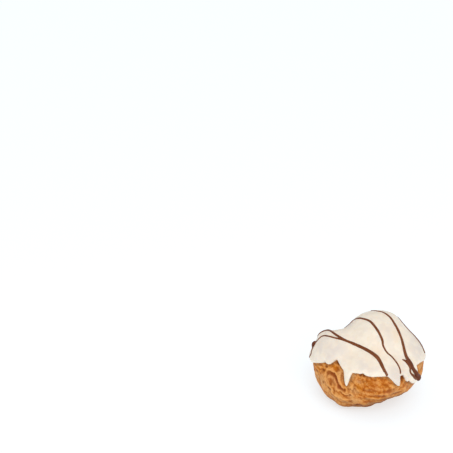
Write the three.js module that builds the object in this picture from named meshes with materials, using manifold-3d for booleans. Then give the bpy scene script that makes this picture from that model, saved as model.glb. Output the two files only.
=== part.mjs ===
// A small iced cream puff: an uneven baked choux shell on a flat foot, under a cap of
// pale icing that runs down in drips, with thin chocolate strands laid over the icing.
//
// Millimetres, +Z up, the puff stands on z = 0 with its front towards -Y. Every surface
// is worked out from directions seen from one point inside the puff: an azimuth (0 is the
// front, 90 is +X) and an elevation above the horizontal, both in degrees, give a radius.

import * as THREE from 'three';
import { mergeVertices } from 'three/addons/utils/BufferGeometryUtils.js';
import Module from 'manifold-3d';

// Driving dimensions -----------------------------------------------------------------

const CENTRE = new THREE.Vector3(0, -1.1, 18); // the point that directions start from
const MEAN_RADIUS = 22; // turns degrees near the icing's edge into millimetres
const CREASE = 2; // rounding where two lobes of dough meet

// The dough rose as overlapping lobes: centre x, y, z and half sizes x, y, z.
const LOBES = [
  { name: 'body', at: [-4.5, -0.6, 11.5], half: [18.5, 21, 14] },
  { name: 'crown', at: [4, 2.9, 25.5], half: [13.5, 15, 13] },
  { name: 'left_shoulder', at: [-11.5, -1.6, 20], half: [13, 12, 12.5] },
  { name: 'right_shoulder', at: [12, 0.9, 17], half: [13.5, 15, 13.5] },
  { name: 'belly', at: [3.5, -10.1, 17.5], half: [16, 14, 11.5] },
  { name: 'back', at: [0, 10.4, 16], half: [16.5, 13, 12] },
];

// Shallow swells and dips on the lobes: where, how wide in degrees, how high.
const SWELLS = [
  { name: 'left_tip', az: -86, el: 2, spread: 9, height: 0.5 },
  { name: 'left_flank', az: -93, el: 14, spread: 9, height: -0.7 },
  { name: 'left_crest', az: -101, el: 28, spread: 11, height: 1.1 },
  { name: 'saddle', az: -109, el: 39, spread: 12.5, height: -2.3 },
  { name: 'back_left', az: -144, el: 26, spread: 16, height: -1.2 },
  { name: 'crown_left', az: -140, el: 58, spread: 13, height: 0.3 },
  { name: 'crown_right', az: 142, el: 47, spread: 10, height: 0.4 },
  { name: 'right_dip', az: 124, el: 38, spread: 10, height: -0.5 },
  { name: 'foot_left', az: -44, el: -41, spread: 10, height: 0.7 },
  { name: 'foot_front', az: -8, el: -50, spread: 13, height: -0.3 },
  { name: 'foot_bump', az: 5, el: -40, spread: 7, height: -0.5 },
  { name: 'low_right', az: 55, el: -24, spread: 14, height: 0.55 },
  { name: 'foot_right', az: 108, el: -60, spread: 22, height: 3.2 },
];

// Icing
const GAP = 0.3; // between the crust and the inside of the icing, at its edge
const GAP_ABOVE = 0.7; // the same higher up, where the inside has longer facets
const ICING = 1.1; // thickness of the cap
const BEAD = 0.25; // extra thickness where the icing gathers near its edge
const EDGE_ROUND = 1.2; // how far from its edge the icing reaches full thickness
const BLUNT = 0.25; // share of the thickness that is left at the very edge

// The icing's lower edge goes round the puff through these elevations, then each drip
// pulls it down: its place, its width to either side, its length and how pointed it is.
const RIM = [
  [-80, 0.8], [-55, 11.5], [-48, 20], [-34, 13.5], [-6, 15], [8, 13.7], [20, 14], [41, 11],
  [72, 10.2], [92, 5.6], [125, 9], [158, 2], [190, 8], [222, 1], [250, 6],
];
const DRIPS = [
  { name: 'front_left', az: -22.5, left: 15, right: 6, length: 17, point: 2 },
  { name: 'front_right', az: 36, left: 14, right: 3.5, length: 10.2, point: 1 },
  { name: 'side_root', az: 46.5, left: 4, right: 5, length: 5, point: 1 },
  { name: 'side', az: 64.5, left: 20, right: 4.4, length: 18.5, point: 0.5 },
  { name: 'far_right', az: 105, left: 8, right: 7, length: 12, point: 1.6 },
  { name: 'back_right', az: 139, left: 5, right: 12, length: 15, point: 1.8 },
  { name: 'back', az: 172, left: 12, right: 6, length: 10, point: 1 },
  { name: 'back_left', az: 207, left: 5, right: 7, length: 15, point: 2 },
  { name: 'far_left', az: 238, left: 13, right: 6, length: 9, point: 1 },
];

// Chocolate strands, laid from the back left to the front right. Each point is an
// azimuth, an elevation and the strand's half width there.
const STRANDS = {
  left_upper: [
    [-109, 4, 0.45], [-106, 11, 0.5], [-102.5, 17, 0.5], [-99.4, 21.8, 0.65],
    [-99, 24.6, 0.8], [-100.6, 27.5, 0.8], [-102.6, 30.8, 0.8], [-98, 35.2, 0.75],
    [-89.6, 39.8, 0.6],
    [-77.7, 43.6, 0.6], [-61, 47.8, 0.62], [-44.5, 51.6, 0.7], [-24, 52.3, 0.76],
    [-4.5, 48.7, 0.76], [7.5, 43.6, 0.74], [15.2, 38, 0.74], [18.4, 32.5, 0.72],
    [19.8, 27, 0.7], [20.8, 22.4, 0.7], [23.4, 13.9, 0.6],
  ],
  left_lower: [
    [-82.9, 3, 0.35], [-82.4, 8.4, 0.4], [-85, 10.5, 0.5], [-88, 13, 1.05],
    [-89.5, 16, 1.4], [-88, 19.3, 0.9], [-86.5, 23.5, 0.45], [-86.4, 29.2, 0.45],
    [-84.2, 32.7, 0.45], [-78, 37.1, 0.45], [-71, 41, 0.45], [-62, 46, 0.45],
    [-44, 51, 0.5], [-21, 51.6, 0.55], [-1, 46.4, 0.6], [11, 39, 0.55], [16.9, 31.5, 0.55],
    [19.1, 24.6, 0.5], [20.9, 18, 0.4],
  ],
  middle: [
    [-146, 3, 0.45], [-138, 22, 0.5], [-127, 41, 0.5], [-124, 53, 0.5], [-131.5, 59, 0.5],
    [-136, 67, 0.58], [-137, 79, 0.6], [140, 89.2, 0.66], [38.5, 79.6, 0.66],
    [36.6, 66, 0.61], [35.5, 57, 0.55], [33.2, 51.5, 0.48], [33.8, 45.5, 0.44],
    [35.6, 39.5, 0.42], [39.4, 33, 0.42], [41, 27, 0.42], [41.6, 22, 0.42],
    [41.2, 17.6, 0.42], [39, 13, 0.42],
  ],
  right: [
    [-171, 4, 0.45], [-175, 24, 0.5], [178, 46, 0.5], [175, 60, 0.4], [160, 65.7, 0.45],
    [146, 65.6, 0.6], [128, 65.4, 0.65], [115, 64, 0.7], [94, 59.2, 0.75], [80, 50.6, 0.8],
    [73.5, 42.5, 0.78], [68.4, 36.5, 0.8], [63.8, 30.5, 0.85], [61.2, 25.6, 0.98],
    [60.3, 21.3, 1.2], [60.1, 17.6, 1.3], [60.1, 14.3, 1.25], [60.3, 10.9, 1.15],
    [61.9, 6.4, 1.2], [63.9, 2, 1.35], [66, -1.6, 1.6], [68, -5.2, 1.6],
  ],
  right_branch: [
    [52.4, 25.3, 0.3], [54.4, 23.3, 0.5], [56.2, 20.7, 0.75], [57, 17.6, 0.9],
    [57, 14.6, 0.85], [56, 12.3, 0.65], [54.5, 10.8, 0.65], [54.3, 8.4, 0.65],
    [56.8, 4.6, 0.75], [60.6, 0, 0.8], [64, -1.4, 0.9],
  ],
  far_right: [
    [151, 12, 0.45], [146, 28, 0.5], [139, 40, 0.5], [129, 45, 0.55], [120, 45, 0.58],
    [113, 41, 0.6], [109.6, 35, 0.6], [106, 29, 0.6], [102, 24, 0.6], [99, 19, 0.6],
    [96, 14.6, 0.6], [93, 10.5, 0.6],
  ],
  back: [
    [-171, 13, 0.4], [178, 22, 0.45], [165, 28, 0.5], [150, 28, 0.5], [136, 22, 0.45],
    [127, 12, 0.5],
  ],
};
const STRAND_SINK = 0.35; // share of its height that a strand sinks into the icing
const STRAND_HEIGHT = 0.8; // height of a strand for its width
const STRAND_STEP = 3.5; // length of one piece of a strand
const STRAND_SIDES = 5;

// Crust relief, in mm of depth
const LUMP = { waves: 7, turns: 13, height: 0.75 }; // blistered dough all over
const WRINKLE = { az: 22, el: -7, wide: 38, high: 15, pitch: 8.5, height: 0.11 };
const FOLDS = [
  { from: [-54.5, -0.8], by: [-40.5, 5.2], to: [-29.5, -12], wide: 2, height: -0.5 },
  { from: [-52, -3], by: [-52, -13], to: [-24, -25], wide: 2.8, height: 0.45 },
  { from: [96, -4], by: [112, -20], to: [138, -12], wide: 2.8, height: -0.7 },
  { from: [-152, -6], by: [-136, -20], to: [-116, -10], wide: 2.8, height: -0.7 },
  { from: [168, -16], by: [184, -8], to: [203, -20], wide: 2.8, height: 0.5 },
];
const RELIEF_FADE = 5; // degrees over which relief dies out under the icing
const FOOT_FADE = 8; // degrees over which it dies out above the foot

// Mesh fineness
const PASTRY_COLUMNS = 70;
const ICING_COLUMNS = 115;

// Colours
const CRUST_COLOUR = '#cf8a45';
const ICING_COLOUR = '#f6ebdd';

// Directions and numbers -------------------------------------------------------------

const radians = THREE.MathUtils.degToRad;
const blendStep = THREE.MathUtils.smoothstep;

function direction(az, el) {
  const a = radians(az);
  const e = radians(el);
  return new THREE.Vector3(Math.cos(e) * Math.sin(a), -Math.cos(e) * Math.cos(a), Math.sin(e));
}

function azimuthOf(d) {
  return THREE.MathUtils.radToDeg(Math.atan2(d.x, -d.y));
}

function elevationOf(d) {
  return THREE.MathUtils.radToDeg(Math.asin(THREE.MathUtils.clamp(d.z, -1, 1)));
}

// The turn from one azimuth to another, the short way round.
function turn(from, to) {
  return THREE.MathUtils.euclideanModulo(to - from + 180, 360) - 180;
}

// The dough's form -------------------------------------------------------------------

// Distance along d from the centre point to the far side of one lobe.
function lobeReach(lobe, d) {
  const [hx, hy, hz] = lobe.half;
  const offset = CENTRE.clone().sub(new THREE.Vector3(...lobe.at));
  const o = new THREE.Vector3(offset.x / hx, offset.y / hy, offset.z / hz);
  const v = new THREE.Vector3(d.x / hx, d.y / hy, d.z / hz);
  const a = v.dot(v);
  const b = v.dot(o);
  const c = o.dot(o) - 1;
  return (-b + Math.sqrt(Math.max(b * b - a * c, 0))) / a;
}

// Radius of the smooth dough: the lobes' soft union with the swells added.
function doughRadius(d) {
  let total = 0;
  for (const lobe of LOBES) {
    total += Math.exp(lobeReach(lobe, d) / CREASE);
  }
  let radius = CREASE * Math.log(total);
  for (const swell of SWELLS) {
    const away = THREE.MathUtils.radToDeg(d.angleTo(direction(swell.az, swell.el)));
    radius += swell.height * Math.exp(-((away / swell.spread) ** 2));
  }
  return radius;
}

// The point at a height above the smooth dough, seen along d. The foot is pressed flat.
function pointAbove(d, height) {
  const p = d.clone().multiplyScalar(doughRadius(d) + height).add(CENTRE);
  p.z = Math.max(p.z, 0);
  return p;
}

// Elevation at which the wall meets the flat foot, found by halving.
function footEdge(az) {
  let inside = -85;
  let above = -20;
  for (let i = 0; i < 30; i += 1) {
    const middle = (inside + above) / 2;
    if (pointAbove(direction(az, middle), 0).z > 0) {
      above = middle;
    } else {
      inside = middle;
    }
  }
  return inside;
}

// The icing's edge -------------------------------------------------------------------

function rimLine(az) {
  let k = RIM.length - 1;
  for (let i = 0; i < RIM.length; i += 1) {
    const next = RIM[(i + 1) % RIM.length][0];
    if (turn(RIM[i][0], az) >= 0 && turn(next, az) < 0) {
      k = i;
    }
  }
  const [az0, el0] = RIM[k];
  const [az1, el1] = RIM[(k + 1) % RIM.length];
  const share = turn(az0, az) / turn(az0, az1);
  return el0 + (el1 - el0) * blendStep(share, 0, 1);
}

function dripShare(drip, az) {
  const away = turn(drip.az, az);
  const u = Math.min(1, Math.abs(away) / (away < 0 ? drip.left : drip.right));
  return Math.cos((u * Math.PI) / 2) ** (2 * drip.point);
}

function rim(az) {
  return DRIPS.reduce((el, drip) => el - drip.length * dripShare(drip, az), rimLine(az));
}

// Distance from the icing's edge. Beside a drip the nearest edge is the drip's side.
function edgeDistance(az, el) {
  const beside = 1 - blendStep(el - rimLine(az), -4, 5);
  const slope = (beside * (rim(az + 0.5) - rim(az - 0.5))) / Math.cos(radians(el));
  return (radians(el - rim(az)) * MEAN_RADIUS) / Math.hypot(1, slope);
}

// Thickness of the icing at a direction: rounded down to a blunt edge, with a bead.
function icingThickness(az, el) {
  const away = edgeDistance(az, el);
  const inward = 1 - THREE.MathUtils.clamp(away / EDGE_ROUND, 0, 1);
  const round = BLUNT + (1 - BLUNT) * Math.sqrt(1 - inward * inward);
  const bead = BEAD * Math.exp(-(((away - 1.6) / 1.4) ** 2));
  return ICING * round + bead;
}

// The crust's relief -----------------------------------------------------------------

// Rounded blisters: a few waves that run along axes spread evenly over all directions.
function lumps(d) {
  let sum = 0;
  for (let k = 0; k < LUMP.waves; k += 1) {
    const lift = Math.asin(-0.8 + (1.6 * (k + 0.5)) / LUMP.waves);
    const axis = direction(137.5 * k, THREE.MathUtils.radToDeg(lift));
    sum += Math.sin(LUMP.turns * (1 + 0.13 * k) * d.dot(axis) + 2.4 * k);
  }
  return (LUMP.height * sum) / LUMP.waves;
}

// Level wrinkles across the front.
function wrinkles(az, el) {
  const across = turn(WRINKLE.az, az) / WRINKLE.wide;
  const up = (el - WRINKLE.el) / WRINKLE.high;
  const wander = 2.2 * Math.sin(radians(az * 4));
  const wave = Math.sin((2 * Math.PI * (el + wander)) / WRINKLE.pitch);
  return WRINKLE.height * wave * Math.exp(-(across ** 2) - up ** 2);
}

// A crack or a raised flap along a curve from one direction to another.
function fold({ from, by, to, wide, height }, az, el) {
  const squeeze = Math.cos(radians(el));
  const steps = 14;
  let nearest = Infinity;
  for (let i = 0; i <= steps; i += 1) {
    const t = i / steps;
    const weights = [(1 - t) ** 2, 2 * t * (1 - t), t ** 2];
    const x = weights[0] * from[0] + weights[1] * by[0] + weights[2] * to[0];
    const y = weights[0] * from[1] + weights[1] * by[1] + weights[2] * to[1];
    nearest = Math.min(nearest, Math.hypot(turn(x, az) * squeeze, el - y));
  }
  return height * Math.exp(-((nearest / wide) ** 2));
}

// All relief together. It dies out under the icing and towards the foot's edge.
function relief(d, az, el, edge) {
  const lowest = Math.min(...[-6, -3, 0, 3, 6].map((step) => rim(az + step)));
  const bare = blendStep(lowest - 1 - el, 0, RELIEF_FADE);
  const wall = blendStep(el - edge, 0, FOOT_FADE);
  const folds = FOLDS.reduce((sum, item) => sum + fold(item, az, el), 0);
  return bare * wall * (lumps(d) + wrinkles(az, el) + folds);
}

// Closed bodies ----------------------------------------------------------------------

// A closed body from a first tip, rings of equal length and a last tip. Seen from
// outside, each ring runs anticlockwise about the way from the last tip to the first.
function ringBody(first, rings, last) {
  const count = rings[0].length;
  const positions = [first, ...rings.flat(), last].flatMap((p) => p.toArray());
  const at = (ring, i) => 1 + ring * count + (i % count);
  const end = 1 + rings.length * count;
  const faces = [];
  for (let i = 0; i < count; i += 1) {
    faces.push(0, at(0, i), at(0, i + 1));
    for (let ring = 0; ring + 1 < rings.length; ring += 1) {
      faces.push(at(ring, i), at(ring + 1, i), at(ring + 1, i + 1));
      faces.push(at(ring, i), at(ring + 1, i + 1), at(ring, i + 1));
    }
    faces.push(end, at(rings.length - 1, i + 1), at(rings.length - 1, i));
  }
  const geometry = new THREE.BufferGeometry();
  geometry.setAttribute('position', new THREE.Float32BufferAttribute(positions, 3));
  geometry.setIndex(faces);
  return geometry;
}

function evenly(count, from, to) {
  return Array.from({ length: count }, (_, i) => from + ((to - from) * i) / (count - 1));
}

// Pastry -----------------------------------------------------------------------------

function pastry() {
  const level = [78, 64, 50, 38, 28, ...evenly(15, 20, -20)];
  const wallShares = evenly(11, 0, 1).slice(1);
  const columns = evenly(PASTRY_COLUMNS + 1, 0, 360)
    .slice(0, -1)
    .map((az) => ({ az, edge: footEdge(az) }));
  const point = ({ az, edge }, el) => {
    const d = direction(az, el);
    return pointAbove(d, relief(d, az, el, edge));
  };
  const down = ({ edge }, share) => -20 + (edge + 20) * share;
  const rings = [
    ...level.map((el) => columns.map((column) => point(column, el))),
    ...wallShares.map((share) => columns.map((column) => point(column, down(column, share)))),
    columns.map((column) => point(column, (column.edge - 90) / 2)),
  ];
  return ringBody(pointAbove(direction(0, 90), 0), rings, pointAbove(direction(0, -90), 0));
}

// Icing ------------------------------------------------------------------------------

// Azimuths spaced evenly along the icing's edge, so that steep drips get more of them.
function icingColumns() {
  const fine = evenly(1441, -180, 180);
  const travelled = [0];
  for (let i = 1; i < fine.length; i += 1) {
    const rise = rim(fine[i]) - rim(fine[i - 1]);
    travelled.push(travelled[i - 1] + Math.hypot(fine[i] - fine[i - 1], rise));
  }
  const whole = travelled[travelled.length - 1];
  return evenly(ICING_COLUMNS + 1, 0, whole)
    .slice(0, -1)
    .map((goal) => fine[travelled.findIndex((length) => length >= goal)]);
}

function icingCap() {
  const level = [80, 70, 60, 51, 42, 33, 24];
  const join = level[level.length - 1];
  const shares = [0.28, 0.54, 0.78];
  const rimSteps = [3, 1.4, 0.5, 0];
  const columns = icingColumns();
  const outer = (az, el) => pointAbove(direction(az, el), GAP + icingThickness(az, el));
  const inner = (az, el) => pointAbove(direction(az, el), GAP);
  const innerAbove = (az, el) => pointAbove(direction(az, el), GAP_ABOVE);
  const down = (az, share) => join + (rim(az) + rimSteps[0] - join) * share;
  const rings = [
    ...level.map((el) => columns.map((az) => outer(az, el))),
    ...shares.map((share) => columns.map((az) => outer(az, down(az, share)))),
    ...rimSteps.map((step) => columns.map((az) => outer(az, rim(az) + step))),
    columns.map((az) => inner(az, rim(az))),
    ...[0.8, 0.54, 0.28].map((share) => columns.map((az) => innerAbove(az, down(az, share)))),
    ...[join, 37, 50, 64, 78].map((el) => columns.map((az) => innerAbove(az, el))),
  ];
  return ringBody(outer(0, 90), rings, innerAbove(0, 90));
}

// A chocolate strand: a flattened tube that follows the icing and is partly sunk in it.
function strand(points) {
  const path = new THREE.CatmullRomCurve3(points.map(([az, el]) => direction(az, el)));
  const widths = new THREE.CatmullRomCurve3(points.map(([, , width]) => new THREE.Vector3(width)));
  const lengths = path.getLength() * 24;
  const steps = Math.ceil(lengths / STRAND_STEP);
  const centres = [];
  const halves = [];
  for (let i = 0; i <= steps; i += 1) {
    const t = path.getUtoTmapping(i / steps);
    const d = path.getPoint(t).normalize();
    const half = widths.getPoint(t).x;
    const rise = half * STRAND_HEIGHT;
    const surface = GAP + icingThickness(azimuthOf(d), elevationOf(d));
    centres.push(pointAbove(d, Math.max(surface - STRAND_SINK * rise, GAP + rise)));
    halves.push(half);
  }
  const rings = centres.map((centre, i) => {
    const ahead = centres[Math.min(i + 1, steps)];
    const behind = centres[Math.max(i - 1, 0)];
    const along = ahead.clone().sub(behind).normalize();
    const side = along.clone().cross(centre.clone().sub(CENTRE)).normalize();
    const up = side.clone().cross(along);
    const tip = i === 0 || i === steps ? 0.6 : 1;
    return evenly(STRAND_SIDES + 1, 90, 450).slice(0, -1).map((angle) => centre.clone()
      .addScaledVector(side, Math.cos(radians(angle)) * halves[i] * tip)
      .addScaledVector(up, Math.sin(radians(angle)) * halves[i] * tip * STRAND_HEIGHT));
  });
  const cap = (i, j) => centres[i].clone().addScaledVector(
    centres[i].clone().sub(centres[j]).normalize(), halves[i] * 0.6);
  return ringBody(cap(0, 1), rings, cap(steps, steps - 1));
}

// Joins closed bodies into one.
async function fuse(geometries) {
  const wasm = await Module();
  wasm.setup();
  const solids = geometries.map((geometry) => {
    const merged = mergeVertices(geometry);
    return new wasm.Manifold(new wasm.Mesh({
      numProp: 3,
      vertProperties: Float32Array.from(merged.attributes.position.array),
      triVerts: Uint32Array.from(merged.index.array),
    }));
  });
  const joined = solids.reduce((sum, solid) => sum.add(solid)).getMesh();
  const geometry = new THREE.BufferGeometry();
  geometry.setAttribute('position', new THREE.BufferAttribute(joined.vertProperties, 3));
  geometry.setIndex(new THREE.BufferAttribute(joined.triVerts, 1));
  return geometry;
}

// The puff ---------------------------------------------------------------------------

function mesh(name, geometry, color, roughness) {
  geometry.computeVertexNormals();
  const material = new THREE.MeshStandardMaterial({ color, roughness, metalness: 0 });
  const item = new THREE.Mesh(geometry, material);
  item.name = name;
  return item;
}

const iced = await fuse([icingCap(), ...Object.values(STRANDS).map(strand)]);

const puff = new THREE.Group();
puff.name = 'cream_puff';
puff.add(mesh('pastry', pastry(), CRUST_COLOUR, 0.75));
puff.add(mesh('icing', iced, ICING_COLOUR, 0.45));

export default puff;
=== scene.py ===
"""A small iced cream puff: baked choux crust, creamy icing with drips, chocolate drizzle.

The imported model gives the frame. Each visible surface is worked out here with numpy as a
function of two parameters, from the same sizes as the solids that it stands for. Lengths
are in millimetres and angles in degrees until a mesh is made, and metres from there on.
A direction from the point CENTRE inside the puff is an azimuth (0 is the front, -Y, and
90 is +X) and an elevation above the horizontal.
"""

import math

import bpy
import numpy as np
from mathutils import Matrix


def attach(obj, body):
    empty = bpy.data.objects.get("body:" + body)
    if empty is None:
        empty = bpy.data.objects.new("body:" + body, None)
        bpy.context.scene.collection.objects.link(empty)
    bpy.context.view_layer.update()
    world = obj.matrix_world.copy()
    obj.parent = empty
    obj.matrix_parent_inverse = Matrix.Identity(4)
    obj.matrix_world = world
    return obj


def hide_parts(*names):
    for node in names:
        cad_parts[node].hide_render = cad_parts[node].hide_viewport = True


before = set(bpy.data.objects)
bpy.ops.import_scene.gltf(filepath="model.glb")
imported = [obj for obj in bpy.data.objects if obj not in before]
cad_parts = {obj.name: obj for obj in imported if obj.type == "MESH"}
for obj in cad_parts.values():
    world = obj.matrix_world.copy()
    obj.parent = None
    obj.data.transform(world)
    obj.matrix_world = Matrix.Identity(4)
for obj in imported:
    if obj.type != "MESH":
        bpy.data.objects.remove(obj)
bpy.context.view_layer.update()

MM = 0.001  # metres

# Form of the dough, as in the solids ----------

CENTRE = np.array([0.0, -1.1, 18.0])
MEAN_RADIUS = 22.0
CREASE = 2.0  # how softly the lobes run into each other
LOBES = {  # centre, half sizes
    "body": ((-4.5, -0.6, 11.5), (18.5, 21, 14)),
    "crown": ((4, 2.9, 25.5), (13.5, 15, 13)),
    "left_shoulder": ((-11.5, -1.6, 20), (13, 12, 12.5)),
    "right_shoulder": ((12, 0.9, 17), (13.5, 15, 13.5)),
    "belly": ((3.5, -10.1, 17.5), (16, 14, 11.5)),
    "back": ((0, 10.4, 16), (16.5, 13, 12)),
}
SWELLS = {  # azimuth, elevation, spread, height
    "left_tip": (-86, 2, 9, 0.5),
    "left_flank": (-93, 14, 9, -0.7),
    "left_crest": (-101, 28, 11, 1.1),
    "saddle": (-109, 39, 12.5, -2.3),
    "back_left": (-144, 26, 16, -1.2),
    "crown_left": (-140, 58, 13, 0.3),
    "crown_right": (142, 47, 10, 0.4),
    "right_dip": (124, 38, 10, -0.5),
    "foot_left": (-44, -41, 10, 0.7),
    "foot_front": (-8, -50, 13, -0.3),
    "foot_bump": (5, -40, 7, -0.5),
    "low_right": (55, -24, 14, 0.55),
    "foot_right": (108, -60, 22, 3.2),
}
FOOT_ROUND = 0.25  # rounding of the foot's edge
FOOT_SPAN = (-85.0, -20.0)  # elevations between which the foot's edge lies
FOOT_HALVINGS = 24
FOOT_FADE = 8.0  # degrees over which the coarse relief dies out above the foot
RELIEF_FADE = 5.0  # degrees over which it dies out under the icing
RELIEF_CLEAR = 1  # degrees by which it stays below the icing's edge
RELIEF_ASIDE = (-6, -3, 0, 3, 6)  # degrees aside, among which the lowest edge counts

# Icing
ICING = 1.1  # thickness
GAP = 0.3  # height above the smooth dough from which the thickness counts
BURY = 0.5  # how far the icing reaches down into the crust, so that no gap shows
EDGE_ROUND = 1.2  # distance from the edge over which it thins in a quarter circle
BLUNT = 0.25  # share of the thickness that is left at the edge itself
BEAD, BEAD_IN, BEAD_WIDE = 0.25, 1.6, 1.4  # height, distance from the edge, half width
DROP, DROP_UP, DROP_WIDE = 0.3, 4, 3.2  # height, degrees above a drip's tip and across
POUR_WAVES = ((0.18, 8, 11), (0.11, 4, 12))  # strength, size and seed of noise
EDGE_WANDER = ((0.5, 2.1, 13), (0.25, 0.8, 14))  # the same, in degrees
RIM = (  # azimuth and elevation
    (-80, 0.8), (-55, 11.5), (-48, 20), (-34, 13.5), (-6, 15), (8, 13.7), (20, 14), (41, 11),
    (72, 10.2), (92, 5.6), (125, 9), (158, 2), (190, 8), (222, 1), (250, 6),
)
DRIPS = {  # azimuth, width to the left, width to the right, length, how pointed
    "front_left": (-22.5, 15, 6, 17, 2),
    "front_right": (36, 14, 3.5, 10.2, 1),
    "side_root": (46.5, 4, 5, 5, 1),
    "side": (64.5, 20, 4.4, 18.5, 0.5),
    "far_right": (105, 8, 7, 12, 1.6),
    "back_right": (139, 5, 12, 15, 1.8),
    "back": (172, 12, 6, 10, 1),
    "back_left": (207, 5, 7, 15, 2),
    "far_left": (238, 13, 6, 9, 1),
}
NOTCHES = ((-59.6, 1.2, 1.8), (-46.5, 2.2, 1.0), (-4.6, 2.2, 1.2))  # azimuth, width, height
COOL_AND_SHADE = (  # azimuth, elevation, half width, half height and strength of its greyer patches, partly painted shade on the flanks turned from the light
    (-58, 28, 20, 14, 0.9), (33, 11, 15, 12, 1.2), (92, 22, 24, 22, 0.7), (2, 26, 14, 8, 0.6),
    (60, 62, 30, 12, 0.5), (-160, 26, 30, 16, 0.8), (150, 12, 22, 14, 0.8),
    (-120, 55, 30, 12, 0.5),
)
WARM = (  # the same for its yellower patches
    (18, 44, 16, 12, 1), (72, 52, 14, 12, 0.9), (-30, 33, 10, 10, 0.4), (45, 20, 6, 12, 0.6),
    (-150, 50, 24, 12, 0.7), (170, 22, 14, 12, 0.7), (118, 30, 12, 12, 0.6),
    (-100, 16, 10, 10, 0.6),
)

# Drizzle: azimuth, elevation and half width of each point that a strand runs through
STRANDS = {
    "left_upper": (
        (-109, 4, 0.45), (-106, 11, 0.5), (-102.5, 17, 0.5), (-99.4, 21.8, 0.65), (-99, 24.6, 0.8),
        (-100.6, 27.5, 0.8), (-102.6, 30.8, 0.8), (-98, 35.2, 0.75), (-89.6, 39.8, 0.6),
        (-77.7, 43.6, 0.6), (-61, 47.8, 0.62), (-44.5, 51.6, 0.7), (-24, 52.3, 0.76),
        (-4.5, 48.7, 0.76), (7.5, 43.6, 0.74), (15.2, 38, 0.74), (18.4, 32.5, 0.72),
        (19.8, 27, 0.7), (20.8, 22.4, 0.7), (23.4, 13.9, 0.6),
    ),
    "left_lower": (
        (-82.9, 3, 0.35), (-82.4, 8.4, 0.4), (-85, 10.5, 0.5), (-88, 13, 1.05), (-89.5, 16, 1.4),
        (-88, 19.3, 0.9), (-86.5, 23.5, 0.45), (-86.4, 29.2, 0.45), (-84.2, 32.7, 0.45),
        (-78, 37.1, 0.45), (-71, 41, 0.45), (-62, 46, 0.45), (-44, 51, 0.5), (-21, 51.6, 0.55),
        (-1, 46.4, 0.6), (11, 39, 0.55), (16.9, 31.5, 0.55), (19.1, 24.6, 0.5), (20.9, 18, 0.4),
    ),
    "middle": (
        (-146, 3, 0.45), (-138, 22, 0.5), (-127, 41, 0.5), (-124, 53, 0.5), (-131.5, 59, 0.5),
        (-136, 67, 0.58), (-137, 79, 0.6), (140, 89.2, 0.66), (38.5, 79.6, 0.66), (36.6, 66, 0.61),
        (35.5, 57, 0.55), (33.2, 51.5, 0.48), (33.8, 45.5, 0.44), (35.6, 39.5, 0.42),
        (39.4, 33, 0.42), (41, 27, 0.42), (41.6, 22, 0.42), (41.2, 17.6, 0.42), (39, 13, 0.42),
    ),
    "right": (
        (-171, 4, 0.45), (-175, 24, 0.5), (178, 46, 0.5), (175, 60, 0.4), (160, 65.7, 0.45),
        (146, 65.6, 0.6), (128, 65.4, 0.65), (115, 64, 0.7), (94, 59.2, 0.75), (80, 50.6, 0.8),
        (73.5, 42.5, 0.78), (68.4, 36.5, 0.8), (63.8, 30.5, 0.85), (61.2, 25.6, 0.98),
        (60.3, 21.3, 1.2), (60.1, 17.6, 1.3), (60.1, 14.3, 1.25), (60.3, 10.9, 1.15),
        (61.9, 6.4, 1.2), (63.9, 2, 1.35), (66, -1.6, 1.6), (68, -5.2, 1.6),
    ),
    "right_branch": (
        (52.4, 25.3, 0.3), (54.4, 23.3, 0.5), (56.2, 20.7, 0.75), (57, 17.6, 0.9),
        (57, 14.6, 0.85), (56, 12.3, 0.65), (54.5, 10.8, 0.65), (54.3, 8.4, 0.65),
        (56.8, 4.6, 0.75), (60.6, 0, 0.8), (64, -1.4, 0.9),
    ),
    "far_right": (
        (151, 12, 0.45), (146, 28, 0.5), (139, 40, 0.5), (129, 45, 0.55), (120, 45, 0.58),
        (113, 41, 0.6), (109.6, 35, 0.6), (106, 29, 0.6), (102, 24, 0.6), (99, 19, 0.6),
        (96, 14.6, 0.6), (93, 10.5, 0.6),
    ),
    "back": (
        (-171, 13, 0.4), (178, 22, 0.45), (165, 28, 0.5), (150, 28, 0.5), (136, 22, 0.45),
        (127, 12, 0.5),
    ),
}
STRAND_SINK = 0.35  # share of its half height by which a strand's middle is sunk
STRAND_HEIGHT = 0.8  # height of a strand beside its width

# Crust relief, coarse as in the solids: heights in mm
LUMP_WAVES, LUMP_TURNS, LUMP_HEIGHT = 7, 13, 0.75
LUMP_LIFT = 0.8  # sine of the elevation up to which the waves' axes are spread
LUMP_QUICKER, LUMP_LATER = 0.13, 2.4  # by how much each wave differs from the one before
GOLDEN_ANGLE = 137.5
WRINKLE = {
    "az": 22, "el": -7, "wide": 38, "high": 15, "pitch": 8.5, "height": 0.11,
    "wander": 2.2, "wanders": 4,
}
FOLDS = {  # three directions that a crack or flap bends through, its width and height
    "swirl": ((-54.5, -0.8), (-40.5, 5.2), (-29.5, -12), 2.0, -0.5),
    "flap": ((-52, -3), (-52, -13), (-24, -25), 2.8, 0.45),
    "right_crack": ((96, -4), (112, -20), (138, -12), 2.8, -0.7),
    "left_crack": ((-152, -6), (-136, -20), (-116, -10), 2.8, -0.7),
    "back_flap": ((168, -16), (184, -8), (203, -20), 2.8, 0.5),
}

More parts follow.
